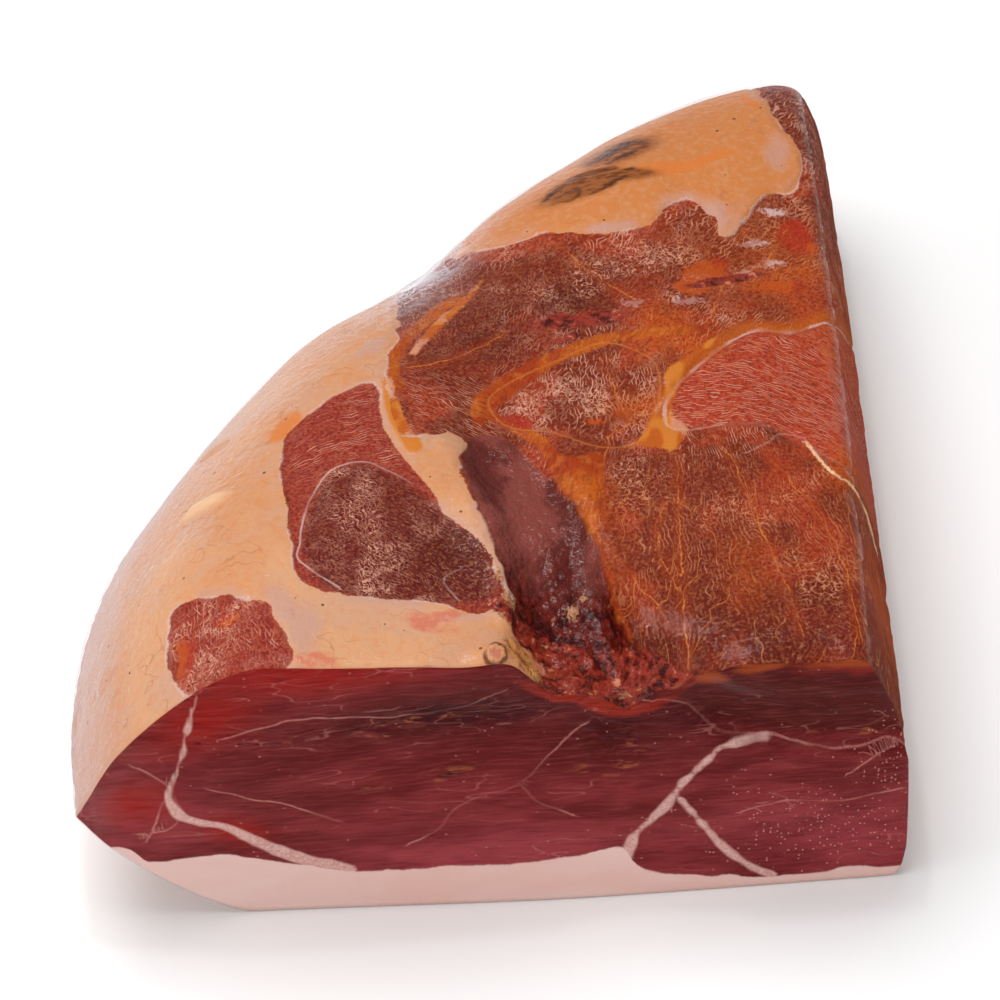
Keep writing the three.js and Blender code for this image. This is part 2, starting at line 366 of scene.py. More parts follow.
LEAN_BORDER = [
    (12, -104), (6, -97), (2, -82), (-2, -66), (-6, -52), (-3, -37), (-12, -37), (-20, -37), (-22, -21),
    (-21, -6), (-17, 13), (-16, 30), (-9, 48), (4, 44), (13, 44), (25, 44), (40, 41), (54, 45), (59, 51),
    (66, 54), (71, 50), (72, 40), (77, 40), (82, 49), (89, 57), (94, 58), (99, 66), (98, 76), (94, 83),
    (93, 94), (91, 104), (91, 130), (150, 130), (150, -150), (12, -150),
]
BORDERS = {
    "flank": [
        (-25, -17), (-32, -17), (-40, -21), (-49, -30), (-52, -43), (-51, -60), (-51, -76), (-49, -87),
        (-42, -92), (-30, -93), (-17, -94), (-5, -98), (2, -93), (1, -85), (-2, -77), (-10, -67),
        (-15, -55), (-20, -46), (-24, -33),
    ],
    "corner": [
        (-75, -87), (-65, -92), (-58, -96), (-55, -105), (-53, -113), (-60, -121), (-68, -122), (-77, -118),
        (-82, -112), (-84, -99), (-83, -87),
    ],
    "hollow": [
        (-2, -37), (6, -33), (12, -40), (18, -50), (24, -62), (28, -74), (29, -85), (31, -95), (32, -106),
        (24, -112), (14, -106), (7, -97), (4, -89), (1, -78), (-2, -67), (-5, -53),
    ],
    "right": [
        (51, -34), (51, -25), (58, -14), (67, -6), (76, 1), (87, 0), (99, 5), (112, 8), (130, -20),
        (130, -70), (104, -56), (92, -50), (84, -42), (74, -36), (60, -35),
    ],
    "neck": [
        (46, -6), (36, -1), (25, -6), (13, -13), (4, -22), (8, -30), (20, -34), (32, -40), (43, -38),
        (49, -24), (50, -12),
    ],
    "node": [
        (35, -42), (43, -37), (47, -28), (51, -22), (52, -14), (58, -9), (67, -2), (60, -9), (54, -20),
        (52, -29), (55, -36), (51, -44), (48, -42), (42, -40),
    ],
    "inner": [
        (-38, -93), (-46, -87), (-49, -75), (-47, -65), (-44, -56), (-39, -48), (-31, -46), (-25, -50),
        (-19, -55), (-10, -66), (-4, -76), (0, -86), (-2, -94), (-17, -95), (-28, -95),
    ],
    "wedge": [
        (20, -46), (26, -44), (32, -43), (31, -53), (28, -66), (24, -56),
    ],
}
# Bands of orange sinew, each point with the half width there
TENDONS = [
    [(2, -26, 3.4), (7, -19, 3.2), (13, -13, 3), (25, -4, 2.4), (36, 0, 2), (49, 1, 1.5), (63, 2, 1.2)],
    [(5, -26, 1.6), (9, -30, 1.6), (14, -34, 1.6), (18, -40, 1.8), (22, -51, 2.2), (25, -62, 2.4)],
    [(25, -62, 2.4), (27, -77, 1.9), (29, -90, 1.4), (32, -102, 1)],
    [(-20, -17, 2.2), (-21, -8, 2.2), (-19, -2, 2.1), (-14, 7, 2), (-6, 18, 1.9), (-1, 22, 1.8)],
]
# Thin orange seams between the lobes
LOBE_SEAMS = [
    [(29, -67), (30, -57), (32, -45), (35, -37), (39, -32), (42, -31), (46, -34), (48, -39), (50, -44)],
    [(52, -38), (50, -62), (48, -88), (47, -107), (47, -118)],
    [(54, -12), (52, -4), (51, 6), (53, 18)],
    [(36, -7), (38, -20), (40, -29), (43, -32)],
    [(46, -62), (43, -75), (46, -89), (48, -100)],
    [(62, -40), (68, -60), (72, -84), (76, -110)],
    [(74, -48), (84, -66), (90, -88), (91, -112)],
    [(30, -75), (36, -88), (44, -104)],
    [(10, 4), (0, -4), (-8, -8), (-18, -10)],
    [(28, 38), (40, 24), (50, 12)],
    [(66, 6), (72, 20), (84, 30), (92, 44)],
]
# Thin pale skins round the muscles
PALE_SEAMS = [
    [(-40, -90), (-49, -81), *BORDERS["inner"][2:9]],
    [(70, -47), (76, -43), (80, -39), (86, -42), (92, -56), (103, -60)],
    [(-9, -84), (-13, -87), (-10, -93)],
]
YELLOW_SEAMS = [
    [(-22, -15, 1.2), (-21, -28, 2), (-17, -42, 2.2)],
    [(-14, -3, 0.9), (-6, 11, 1.3), (1, 20, 0.8), (7, 30, 0.3)],
]
SIDE_SLANT = 0.42  # how far the right muscle runs back for each millimetre down the side
TEAR = [(86, -43), (92, -56), (103, -60)]
STAIN_STROKES = [
    [(25, 57, 0.3), (30, 63, 1.1), (35, 66, 1.4), (41, 68, 1.2), (48, 67, 0.8), (56, 64, 0.1)],
    [(28, 57, 0.2), (32, 56, 0.5), (36, 58, 0.7), (35, 62, 1)],
    [(39, 57, 0.2), (43, 59, 0.7), (47, 62, 0.8), (51, 64, 0.2)],
    [(39, 72, 0.6), (44, 76, 1.8), (49, 80, 2.2), (54, 81, 1.8), (57, 77, 0.6)],
    [(45, 71, 0.3), (50, 74, 1.3), (56, 77, 0.5)],
]

# Soft patches: place, half sizes and, where they are turned, by how many degrees
MARKS = {
    "brown": [(49, 77, 11, 6, 22), (37, 62, 12, 5.5, 18), (48, 64, 10, 2.5)],
    "orange": [(62, 66, 11, 3.6, 3), (-50, -27, 7, 4, 58), (88, 96, 5, 2, -70), (74, 70, 8, 1.6, 20)],
    "lilac": [
        (-49, -104, 5, 10), (-25, 2, 8, 4, 40), (-7, 30, 12, 7, 40), (-55, -94, 4, 10, 20),
        (-6, -99, 12, 2.5, 5), (66, 42, 10, 3, 20), (40, 44, 12, 2, 5), (92, 73, 5, 11),
        (72, 48, 6, 6),
    ],
    "pink": [(-17, -102, 7, 3.4, -20), (-11, -98, 7, 1.8, 10), (-46, -114, 7, 3), (12, -106, 9, 5)],
    "glaze": [
        (53, 2, 9, 12), (62, -3, 10, 7, 30), (88, 30, 22, 24), (100, 2, 7, 14),
        (28, -58, 5, 14, 10), (42, -25, 7, 5), (96, -52, 9, 9, 40), (102, -80, 7, 22),
        (30, -86, 5, 16, 8), (66, -92, 6, 14, 5),
    ],
    # The patches below are painted shade: the lean is darkened there, most along the front edge of the top.
    "dark": [
        (-8, -80, 15, 15, 30), (-8, -6, 14, 12), (28, -104, 12, 14), (62, -112, 50, 17),
        (4, 2, 20, 16, 20), (36, 20, 26, 10, 10),
    ],
    "curly": [
        (-36, -63, 11, 12, 20), (40, -54, 14, 12), (30, 26, 20, 9), (54, 32, 14, 9),
        (26, -20, 14, 10), (-70, -103, 9, 12), (78, 44, 6, 6), (66, -66, 16, 12),
        (84, -92, 10, 12),
    ],
    "blood": [
        (68, 26, 8, 5, 30), (85, 19, 9, 4), (95, 42, 6, 8), (93, 66, 4, 12), (62, 19, 6, 3),
        (35, 9, 13, 3.4, 6), (12, -30, 5, 3, -40), (-69, -97, 4, 3.5), (-80, -104, 3, 8),
        (32, -30, 4, 2),
    ],
    "bits": [
        (82, 38, 6, 2.4, 8), (86, 30, 7, 2.6, 5), (78, 26, 3.5, 1.6, 40), (89, 50, 7, 2.2, -12),
        (47, 14, 6, 2.4), (61, 13, 8, 2.4), (23, 10, 3.4, 2.2, 30), (91, 62, 2, 7),
    ],
    "crumbs": [
        (3, -93, 2.4, 2.8), (1, -87, 1.4, 2.6, 20), (20, -90, 2.2, 2.8), (23, -86, 1.4, 1.6),
        (31, -113, 1.6, 1), (12, -99, 1.4, 1),
    ],
    "rubble": [(5, -110, 4.5, 6, 20), (-6, -57, 3.5, 22, 22), (0, -78, 3, 10, 10)],
    "drip": [(-72, -50, 7.5, 2.8, 8)],
    "wet": [(26, 9, 6, 4, 10), (36, 9, 10, 3, 8), (27, 2, 5, 1.6, 20), (72, 22, 14, 2, 15)],
}

# Torn flesh along the mouth of the hollow, and the end of a small tube
TORN_FLESH = [
    [(0, -95, 1.5), (7, -100, 3), (16, -103, 4), (27, -108, 5), (36, -113, 4.5), (46, -118, 3)],
    [(8, -111, 1.5), (16, -114, 3), (26, -116, 4), (36, -117, 3)],
]
TUBE_END = (-2, -113.5)
TUBE_RADIUS = 2.7


def patches(marks, x, y):
    total = np.zeros(len(x))
    for mark in marks:
        total = np.maximum(total, swelling(x, y, *mark))
    return total


def fan(x, y, px, py, radius):
    """Across and along for fibres that spread from a pole. The other way round, they ring the pole."""
    dx, dy = x - px, y - py
    return np.arctan2(dx, -dy) * radius, np.hypot(dx, dy)


def fibres(x, y, z, r):
    """Across and along the fibres in the regions r, and how much the fibres branch into a net."""
    across, along = fan(x, y, 55, 40, 95)
    net = np.full(len(x), 0.3)
    run = np.clip(x - 51, 0, 60)
    side = (z < 60) | (x > 104)
    choices = [  # later ones lie over earlier ones
        (side, (z, y), 0.3),
        (r["upper"] > 0, fan(x, y, -30, -190, 200), 0.55),
        ((x < 6) & (y > -38) & (y < -6), (y + 0.5 * x, x - 0.5 * y), 0.35),
        (r["neck"] > 0, fan(x, y, 30, 60, 70), 0.7),
        (r["right"] > 0, (y + 0.13 * run + 0.000124 * run**3, x), 0.15),
        (r["flank"] > 0, fan(x, y, -26, -80, 32)[::-1], 0.25),
        (r["inner"] > 0, (x + 0.8 * y, y - 0.6 * x), 0.95),
        (r["corner"] > 0, (x, y), 0.9),
        (side & (r["right"] > 0), (z + 0.45 * y, y - 0.45 * z), 0.15),
    ]
    for where, (a, b), amount in choices:
        across, along = np.where(where, a, across), np.where(where, b, along)
        net = np.where(where, amount, net)
    return across, along, net


def nearest_line(lines, x, y):
    """Signed distance to the nearest of some lines, and the plain distance."""
    signed, near = np.full(len(x), 99.0), np.full(len(x), 99.0)
    for line in lines:
        distance, side, _ = measure(curve(line), x, y)
        signed = np.where(distance < near, distance * side, signed)
        near = np.minimum(near, distance)
    return signed, near


def bands(lines, x, y):
    """How far a point lies inside the nearest band. Each point of a line also gives the half width."""
    inward = np.full(len(x), -99.0)
    for points in lines:
        line = curve(points)
        distance, _, share = measure(line[:, :2], x, y)
        half = np.interp(share * (len(line) - 1), np.arange(len(line)), line[:, 2])
        inward = np.maximum(inward, half - distance)
    return inward


def survey(p):
    """Everything that the materials of the outside need to know about each point."""
    x, y, z = p.T
    high = z > WIDEST_LEVEL
    upper_half = smooth(WIDEST_LEVEL - 6, WIDEST_LEVEL + 6, z)
    foot = mix(WIDEST_LEVEL + 2, 11, smooth(15, 75, x))
    lean = np.minimum(inside(loop(LEAN_BORDER), x, y), z - foot - 3 * noise(p, 30, 3))
    s = {"lean": lean}
    for name, border in BORDERS.items():
        shift = SIDE_SLANT * np.maximum(80 - z, 0) if name == "right" else 0
        s[name] = np.where(high | (name == "right"), inside(loop(border), x, y - shift), -9)
    s["right"] = s["right"] + 3.5 * noise(p, 13, 21) * smooth(84, 64, z)
    s["islands"] = np.maximum(s["flank"], s["corner"])
    s["island_share"] = smooth(-1, 1, s["islands"])
    upper = np.where(y > -38, (y + 14) - 0.12 * (x - 10), -9)
    s["upper"] = np.where((x < 3) & (y > -38), 5, upper)
    s["across"], s["along"], s["net"] = fibres(x, y, z, s)
    s["tendon"] = np.where(high, np.maximum(s["wedge"] + 0.6, bands(TENDONS, x, y)), -9)
    s["node"] = np.maximum(s["node"], np.where(high, bands(YELLOW_SEAMS, x, y), -9))
    for name, lines in (("seam", LOBE_SEAMS), ("skin", PALE_SEAMS), ("tear", [TEAR])):
        signed, near = nearest_line(lines, x, y)
        s[name], s[name + "_near"] = np.where(high, signed, 9), np.where(high, near, 9)
    for name, marks in MARKS.items():
        s[name] = patches(marks, x, y) * (upper_half if name != "glaze" else 1)
    s["scorch"] = np.where(high, bands(STAIN_STROKES, x, y), -9)
    s["ragged"] = smooth(-3.5, 1.5, bands(TORN_FLESH, x, y)) * upper_half
    s["tube"] = np.hypot(x - TUBE_END[0], y - TUBE_END[1]) + 99 * (1 - upper_half)
    return s


def relief(p, s):
    """Small relief of the outside, in millimetres outward."""
    is_lean = smooth(-0.8, 0.8, np.maximum(s["lean"], s["islands"]))
    lift = -0.45 * is_lean
    lift += is_lean * 0.16 * noise(p, 2.6, 5) + is_lean * 0.2 * noise(p, 7, 9)
    lift += (1 - is_lean) * (0.5 * noise(p, 22, 1) + 0.2 * noise(p, 9, 2))
    pit = smooth(0, 3, s["hollow"])
    lift += pit * (0.9 * noise(p, 9, 4) + 0.6 * noise(p, 4, 6))
    lift += s["ragged"] * (2.6 * (1 - abs(noise(p, 5, 8))) ** 3 - 0.8 + 0.8 * noise(p, 2.4, 11))
    lift += s["wet"] * 0.9 * (0.4 + noise(p, 3.2, 12))
    lift -= 0.7 * np.exp(-((s["right"] / 1.1) ** 2)) + 0.4 * np.exp(-(s["lean"] ** 2))
    lift += 0.35 * smooth(-1, 1, s["tendon"]) + 0.5 * smooth(-1.5, 1, s["node"])
    lift -= 0.9 * smooth(0, 1.2, s["tear"]) * smooth(12, 2, s["tear_near"])
    lift += 2.2 * smooth(0.15, 0.85, s["drip"] + 0.1 * noise(p, 4, 18))
    lift -= 0.5 * s["brown"]
    lift += 1.4 * smooth(TUBE_RADIUS + 0.9, TUBE_RADIUS - 0.3, s["tube"])
    lift -= smooth(TUBE_RADIUS - 0.9, TUBE_RADIUS - 1.7, s["tube"])
    lift += s["crumbs"] * 1.6 * smooth(-0.4, 0.5, noise(p, 1.8, 14))
    lift += s["rubble"] * (0.8 * noise(p, 4.2, 16) + 0.6 * noise(p, 2.0, 17))
    return lift


def put(name, data):
    """Adds an object with this data to the scene."""
    thing = bpy.data.objects.new(name, data)
    scene.collection.objects.link(thing)
    return thing


def mesh_object(name, p, faces):
    mesh = bpy.data.meshes.new(name)
    mesh.from_pydata((p / 1000).tolist(), [], faces.tolist())
    mesh.update()
    mesh.polygons.foreach_set("use_smooth", np.ones(len(mesh.polygons), bool))
    return put(name, mesh)


def store(piece, name, *channels):
    """Keeps up to three values a point under one name."""
    kind = "FLOAT" if len(channels) == 1 else "FLOAT_VECTOR"
    layer = piece.data.attributes.new(name, kind, "POINT")
    if kind == "FLOAT":
        layer.data.foreach_set("value", channels[0].astype(np.float32))
    else:
        columns = [*channels, *[np.zeros(len(channels[0]))] * (3 - len(channels))]
        layer.data.foreach_set("vector", np.stack(columns, 1).astype(np.float32).ravel())


# What shows on the cut, as x and z

CUT_FAT_FLOOR = [
    (-130, 34), (-100, 31), (-93, 24), (-82, 25), (-72, 25), (-60, 21), (-46, 16), (-35, 14),
    (-14, 15), (9, 15), (25, 18), (31, 19), (37, 10), (52, 6), (73, 4), (92, 4), (112, 5),
]
CUT_SEAMS = [
    [(-79, 88, 0.3), (-81, 77, 0.45), (-83, 67, 0.4), (-86, 57, 0.5), (-87, 53, 0.9), (-85, 46, 1.5),
     (-80, 41, 1.5), (-73, 38, 1.5), (-64, 30, 1.9), (-54, 22, 2.4), (-41, 15, 2.4)],
    [(31, 13, 1.4), (33, 19, 1.2), (35, 25, 1.2), (41, 33, 1.4), (46, 42, 1), (51, 49, 0.9), (56, 56, 0.9),
     (62, 57, 1.5), (68, 57, 0.7)],
    [(46, 37, 0.7), (51, 28, 0.9), (57, 17, 1), (63, 10, 1), (71, 4, 0.8)],
]
CUT_FLAP = [[(1, 92, 0.6), (10, 83, 2.6), (20, 79, 3.4), (30, 72.5, 2.8), (42, 77, 1.4), (52, 86, 0.5)]]
CUT_CRACKS = [
    [(-79, 74), (-70, 73), (-62, 72), (-44, 72), (-30, 75), (-16, 78), (2, 80)],
    [(-44, 51), (-34, 50), (-24, 52), (-12, 53), (0, 59)],
]
CUT_VEINS = [
    [(-78, 92), (-80, 82), (-82, 72), (-84, 62), (-86, 54)],
    [(-72, 75), (-63, 78), (-52, 80), (-39, 78), (-26, 76), (-16, 77), (-9, 79), (0, 85)],
    [(-76, 55), (-66, 50), (-56, 46), (-43, 37)],
    [(-25, 25), (-17, 31), (-12, 40), (-4, 44), (4, 47), (11, 56), (15, 62), (21, 68)],
    [(4, 47), (8, 40), (14, 36), (18, 33)],
    [(90, 42), (96, 48), (102, 51)],
    [(62, 30), (74, 33), (88, 31), (104, 34)],
    [(-95, 66), (-87, 58), (-84, 45)],
    [(35, 77), (45, 75), (51, 67), (56, 61), (66, 58), (77, 54), (90, 51), (100, 53), (110, 48)],
    [(-88, 50), (-90, 42), (-93, 34)],
    [(-84, 43), (-88, 38), (-95, 37)],
]
CUT_MARKS = {
    "bright": [(-52, 98, 30, 8), (-76, 84, 16, 10, 40), (-96, 50, 10, 9), (-70, 36, 9, 5, -30)],
    "shaded": [(-10, 76, 44, 12, 3), (64, 72, 50, 12), (28, 66, 16, 12)],
    "pale": [(-8, 20, 50, 11), (85, 18, 40, 16), (-90, 44, 18, 20)],
    "lip": [(88, 90, 22, 4), (44, 84, 8, 4, 60)],
    "flecks": [(30, 54, 13, 9, 20), (-22, 72, 46, 4, 3), (88, 55, 12, 3), (-20, 52, 26, 3, 4)],
    "specks": [(84, 22, 26, 13), (102, 42, 8, 18)],
    "amber": [(53, 86, 5, 6), (66, 92, 12, 3.5, 8), (92, 91, 22, 2.5)],
    "cracked": [(-22, 73, 42, 7), (28, 62, 12, 14)],
    "flap": [(16, 80, 20, 4, -14), (34, 74, 8, 3)],
}


def survey_cut(p):
    """Everything that the material of the cut needs to know about each point."""
    x, _, z = p.T
    s = {name: patches(marks, x, z) for name, marks in CUT_MARKS.items()}
    floor = curve(CUT_FAT_FLOOR)
    s["cut_lean"] = z - np.interp(x, floor[:, 0], floor[:, 1]) - 0.5 * noise(p, 5, 2)
    s["seams"] = bands(CUT_SEAMS, x, z)
    s["vein"], s["near"] = nearest_line(CUT_VEINS, x, z)
    above = z - np.interp(x, seam[:, 0] - MIDDLE[0], seam[:, 1])
    s["lobe"] = smooth(0, 2, above) * smooth(30, 42, x)
    s["lip"] = np.maximum(s["lip"], 0.9 * smooth(-1.6, 1.4, bands(CUT_FLAP, x, z)))
    s["crack"] = nearest_line(CUT_CRACKS, x, z)[1]
    return s


def cut_relief_fine(p, s):
    """Small relief of the cut, in millimetres outward."""
    ridged = 1 - abs(noise(p * (0.35, 1, 1.6), 3.2, 3))
    lift = -0.9 * s["cracked"] * ridged**6 + 0.12 * noise(p, 4, 7)
    lift = lift - 0.5 * np.exp(-((s["near"] / 0.6) ** 2)) * s["lobe"]
    return lift + s["flap"] * (1.6 * (1 - abs(noise(p, 4.5, 8))) ** 3 - 0.3)


# Materials


def arithmetic(operation):
    """A method that adds a math node."""
    return lambda value, *others: value.net.math(operation, value, *others)


class Value:
    """An output of a node. Arithmetic on it adds math nodes, and a | b is the larger of the two."""

    def __init__(self, net, socket):
        self.net, self.socket = net, socket

    __add__ = __radd__ = arithmetic("ADD")
    __sub__ = arithmetic("SUBTRACT")
    __mul__ = arithmetic("MULTIPLY")
    __truediv__ = arithmetic("DIVIDE")
    __or__ = arithmetic("MAXIMUM")
    __abs__ = arithmetic("ABSOLUTE")

    def __rsub__(self, other):
        return self.net.math("SUBTRACT", other, self)


class Net:
    """Builds one node material. Inputs may be numbers, colours or values."""

    def __init__(self, name):
        self.material = bpy.data.materials.new(name)
        self.material.use_nodes = True
        self.tree = self.material.node_tree
        self.tree.nodes.clear()

    def add(self, kind, inputs=(), output=0, **settings):
        """Adds a node and gives one of its outputs."""
        node = self.tree.nodes.new("ShaderNode" + kind)
        for key, value in settings.items():
            setattr(node, key, value)
        for key, value in dict(inputs).items():
            socket = node.inputs[key]
            if isinstance(value, Value):
                self.tree.links.new(value.socket, socket)
            else:
                socket.default_value = (*value, 1) if socket.type == "RGBA" else value
        return Value(self, node.outputs[output]) if node.outputs else None

    def math(self, operation, *inputs):
        return self.add("Math", enumerate(inputs), operation=operation)

    def place(self, stretch=1):
        """Position in millimetres. A shorter x draws patterns out along x."""
        inputs = {0: self.add("TexCoord", output="Object"), 1: (1000 * stretch, 1000, 1000)}
        return self.add("VectorMath", inputs, operation="MULTIPLY")

    def stored(self, name, output="Fac"):
        return self.add("Attribute", output=output, attribute_name=name)

    def split(self, vector):
        first = self.add("SeparateXYZ", {0: vector})
        return [Value(self, socket) for socket in first.socket.node.outputs]

    def parts(self, name):
        return self.split(self.stored(name, "Vector"))

    def noise(self, size, detail=3, roughness=0.55, stretch=1):
        inputs = {"Scale": 1 / size, "Detail": detail, "Roughness": roughness}
        return self.add("TexNoise", {"Vector": self.place(stretch), **inputs})

    def flat_noise(self, x, y, detail):
        inputs = {"Vector": self.add("CombineXYZ", {0: x, 1: y}), "Scale": 1, "Detail": detail}
        return self.add("TexNoise", inputs, noise_dimensions="2D")

    def cells(self, size):
        """Distance to the middle of a cell, and three random shares that stay the same over it."""
        distance = self.add("TexVoronoi", {"Vector": self.place(), "Scale": 1 / size})
        return distance, *self.split(Value(self, distance.socket.node.outputs["Color"]))

    def bump(self, height, distance, strength):
        return self.add("Bump", {"Height": height, "Distance": distance / 1000, "Strength": strength})

    def finish(self, shader):
        self.add("OutputMaterial", {"Surface": shader})
        return self.material


def step(low, high, value, floor=0, top=1):
    inputs = {"Value": value, "From Min": low, "From Max": high, "To Min": floor, "To Max": top}
    return value.net.add("MapRange", inputs, interpolation_type="SMOOTHSTEP")


def tint(factor, a, b):
    """Colour between a and b."""
    return factor.net.add("Mix", {0: factor, 6: a, 7: b}, 2, data_type="RGBA")


def fade(factor, a, b):
    """Number between a and b."""
    return factor.net.add("Mix", {0: factor, 2: a, 3: b}, data_type="FLOAT")


class Paint:
    """A colour that is built up layer by layer."""

    def __init__(self, ground):
        self.colour = ground

    def __call__(self, factor, colour):
        self.colour = tint(factor, self.colour, colour)


FAT_PEACH = (0.56, 0.245, 0.11)
FAT_PINK = (0.53, 0.29, 0.19)
FAT_YELLOW = (0.53, 0.18, 0.05)
FAT_CREAM = (0.6, 0.3, 0.155)
FAT_LILAC = (0.49, 0.275, 0.225)
FAT_PALE = (0.74, 0.48, 0.3)
FAT_GLAZED = (0.6, 0.17, 0.035)
FAT_HAIR = (0.4, 0.14, 0.06)
SCORCHED = (0.085, 0.021, 0.006)
SCORCH_HALO = (0.24, 0.068, 0.016)
PORE = (0.09, 0.03, 0.015)
BLUSH = (0.55, 0.14, 0.085)
LEAN_BROWN = (0.165, 0.021, 0.009)
LEAN_RED = (0.285, 0.031, 0.011)
# The next colour darkens the lean's grain and is also the colour of its painted shade.
LEAN_DARK_AND_SHADE = (0.07, 0.006, 0.004)
RIGHT_RED = (0.39, 0.045, 0.022)
FLANK_RED = (0.27, 0.03, 0.02)
INNER_WINE = (0.085, 0.007, 0.007)
LEAN_ORANGE = (0.43, 0.064, 0.006)
BLOOD_RED = (0.33, 0.018, 0.006)
GREY_PINK = (0.42, 0.19, 0.16)
TENDON_ORANGE = (0.43, 0.088, 0.008)
TENDON_BROWN = (0.33, 0.038, 0.005)
NODE_YELLOW = (0.54, 0.17, 0.024)
MARBLE = (0.6, 0.29, 0.2)
MARBLE_ORANGE = (0.53, 0.165, 0.03)
PALE_SKIN = (0.64, 0.45, 0.42)
TORN_FAT = (0.76, 0.46, 0.24)
WINE = (0.04, 0.003, 0.002)
WINE_RED = (0.13, 0.008, 0.004)
MEMBRANE = (0.21, 0.045, 0.034)
MEMBRANE_DARK = (0.105, 0.014, 0.01)
CRUST = (0.44, 0.25, 0.13)
SHRED_DARK = (0.06, 0.006, 0.004)
SHRED_RED = (0.27, 0.026, 0.013)
SHRED_PALE = (0.56, 0.23, 0.11)
CRUMBLED = (0.62, 0.27, 0.085)
CRUMBLED_DARK = (0.34, 0.1, 0.035)
TUBE_CORE = (0.4, 0.12, 0.07)
MOIST_IOR = 1.4


class Outside(Net):
    """Material of the outside. Each variant holds only what its faces need."""

    def __init__(self, name, fat=False, lean=False, pit=False, side=False, gloss=0):
        super().__init__(name)
        self.depth = self.split(self.place())[1]
        self.broad, self.mottle, self.flow = self.parts("flows")
        self.gate, self.patchy, self.uneven = self.parts("gates")
        self.wander, self.drift, _ = self.parts("drifts")
        self.glaze, self.dark, self.pink = self.parts("tones")
        self.ragged, self.wet, self.height = self.parts("wetness")
        zone, muscle, self.pit = self.parts("lean_zones")
        self.grain = self.noise(0.9, 1, 0.65)
        self.crumbs, self.rubble, self.tube = self.parts("crumbs")
        self.fray = (self.grain - 0.5) * (1 + self.rubble)
        outer = zone + self.wander * 1.5
        islands = muscle + self.wander * 0.9
        self.border = (outer | islands) + self.fray
        fat_rough, lean_rough = 0.42, step(0.3, 0.7, self.grain, 0.3, 0.46)
        coated = step(0.58, 0.66, self.grain, 0, 0.8)
        if fat and lean:
            is_lean = step(-0.2, 0.2, self.border)
            fat_colour, fat_height = self.fat()
            lean_colour, lean_height = self.lean()
            height = fade(is_lean, fat_height, lean_height)
            rough = fade(is_lean, fat_rough, lean_rough)
            edge = step(0.55, 0.15, abs(self.border + 0.1)) * step(0.45, 0.65, self.patchy)
            colour = tint(edge * 0.45, tint(is_lean, fat_colour, lean_colour), PALE_SKIN)
        elif lean:
            (colour, height), rough = self.lean(), lean_rough
        else:
            (colour, height), rough = self.fat(), fat_rough
        if pit:
            colour, height, rough, coated = self.hollow(colour, height, rough, coated)
        if side:
            coated = 0
        normal = self.bump(height, 0.34, 0.8)
        self.finish(self.add("BsdfPrincipled", {
            "Base Color": colour, "Roughness": rough, "Normal": normal, "IOR": MOIST_IOR,
            "Specular IOR Level": gloss, "Coat Weight": coated, "Coat Roughness": 0.09,
            "Coat IOR": MOIST_IOR, "Coat Normal": normal,
        }))

    def fat(self):
        brown, orange, lilac = self.parts("marks")
        smear = self.noise(4.2, 3, 0.6)
        paint = Paint(FAT_PEACH)
        paint(step(0.35, 0.65, self.broad), FAT_CREAM)
        paint(step(0.4, 0.7, smear, 0, 0.28), FAT_CREAM)
        paint(step(0.45, 0.75, self.mottle, 0, 0.6), FAT_PINK)
        paint(step(-10, 62, self.depth, 0, 0.95), FAT_YELLOW)
        curd = self.noise(2, 2, 0.6)
        paint(step(0.46, 0.66, curd, 0, 0.3), FAT_CREAM)
        paint(step(0.5, 0.32, curd, 0, 0.25), FAT_GLAZED)
        hair = step(0.009, 0.002, abs(self.noise(11, 2, 0.45) - 0.5))
        paint(hair * step(0.45, 0.62, self.patchy) * 0.5, FAT_HAIR)
        foot = step(84, 44, self.height) * step(70, 0, self.depth) * 0.8
        paint(foot, FAT_LILAC)
        halo = step(-5, -0.4, self.border) * step(0.42, 0.7, self.uneven) * 0.5
        paint(halo, FAT_LILAC)
        blurred = 0.55 + self.mottle * 0.9
        paint(step(0.3, 0.95, lilac * blurred, 0, 0.6), FAT_LILAC)
        smeared_pink = self.pink * blurred * (smear * 2.2 + curd * 1.4 - 0.9)
        paint(step(0.25, 0.85, smeared_pink, 0, 0.8), BLUSH)
        paint(step(0.2, 0.7, self.parts("skins")[2], 0, 0.75), FAT_PALE)
        paint(step(0.35, 0.65, orange * blurred, 0, 0.85), FAT_GLAZED)
        burnt = brown * (0.35 + smear * 1.2)
        paint(step(0.08, 0.55, burnt, 0, 0.85), SCORCH_HALO)
        streaky = self.noise(1.7, 3, 0.65, stretch=0.35)
        frayed = self.stored("scorch") + streaky * 4.4 - 2.3
        strokes = step(-0.9, 0.7, frayed) * step(0.2, 0.6, self.patchy, 0.55, 0.95)
        dirty = step(0.47, 0.62, streaky) * step(0.2, 0.8, brown) * 0.75
        paint(strokes | dirty, SCORCHED)
        paint(step(-0.8, 0.5, self.parts("muscles")[2] + self.fray), NODE_YELLOW)
        distance, chance, size, _ = self.cells(5.5)
        size = step(0, 1, size, 0.045, 0.1)
        pores = step(0, 0.012, size - distance) * step(0.36, 0.4, chance, 0, 0.85)
        paint(pores, PORE)
        return paint.colour, smear + curd * 0.7 + self.grain * 0.35

    def squiggles(self, width, length, thin, seed):
        """Thin wavy lines without one direction: the level lines of a stretched noise."""
        across, along, _ = self.parts("fibre")
        u = (across + self.bend * 1.2) / width
        v = along / length + seed
        return step(thin, thin * 0.3, abs(self.flat_noise(u, v, 1) - 0.5))

    def strands(self, spacing, slant, sway, dash, thin, keep, seed):
        """Thin lines side by side along the fibres, each broken into dashes of its own."""
        across, along, _ = self.parts("fibre")
        w = (across + along * slant + sway) / spacing + seed
        rank = self.math("FLOOR", w)
        off = abs(w - (rank + 0.5))
        gate = self.flat_noise(rank * 5.77, along / dash + seed, 0)
        return step(thin, thin * 0.35, off) * step(keep, keep + 0.18, gate)

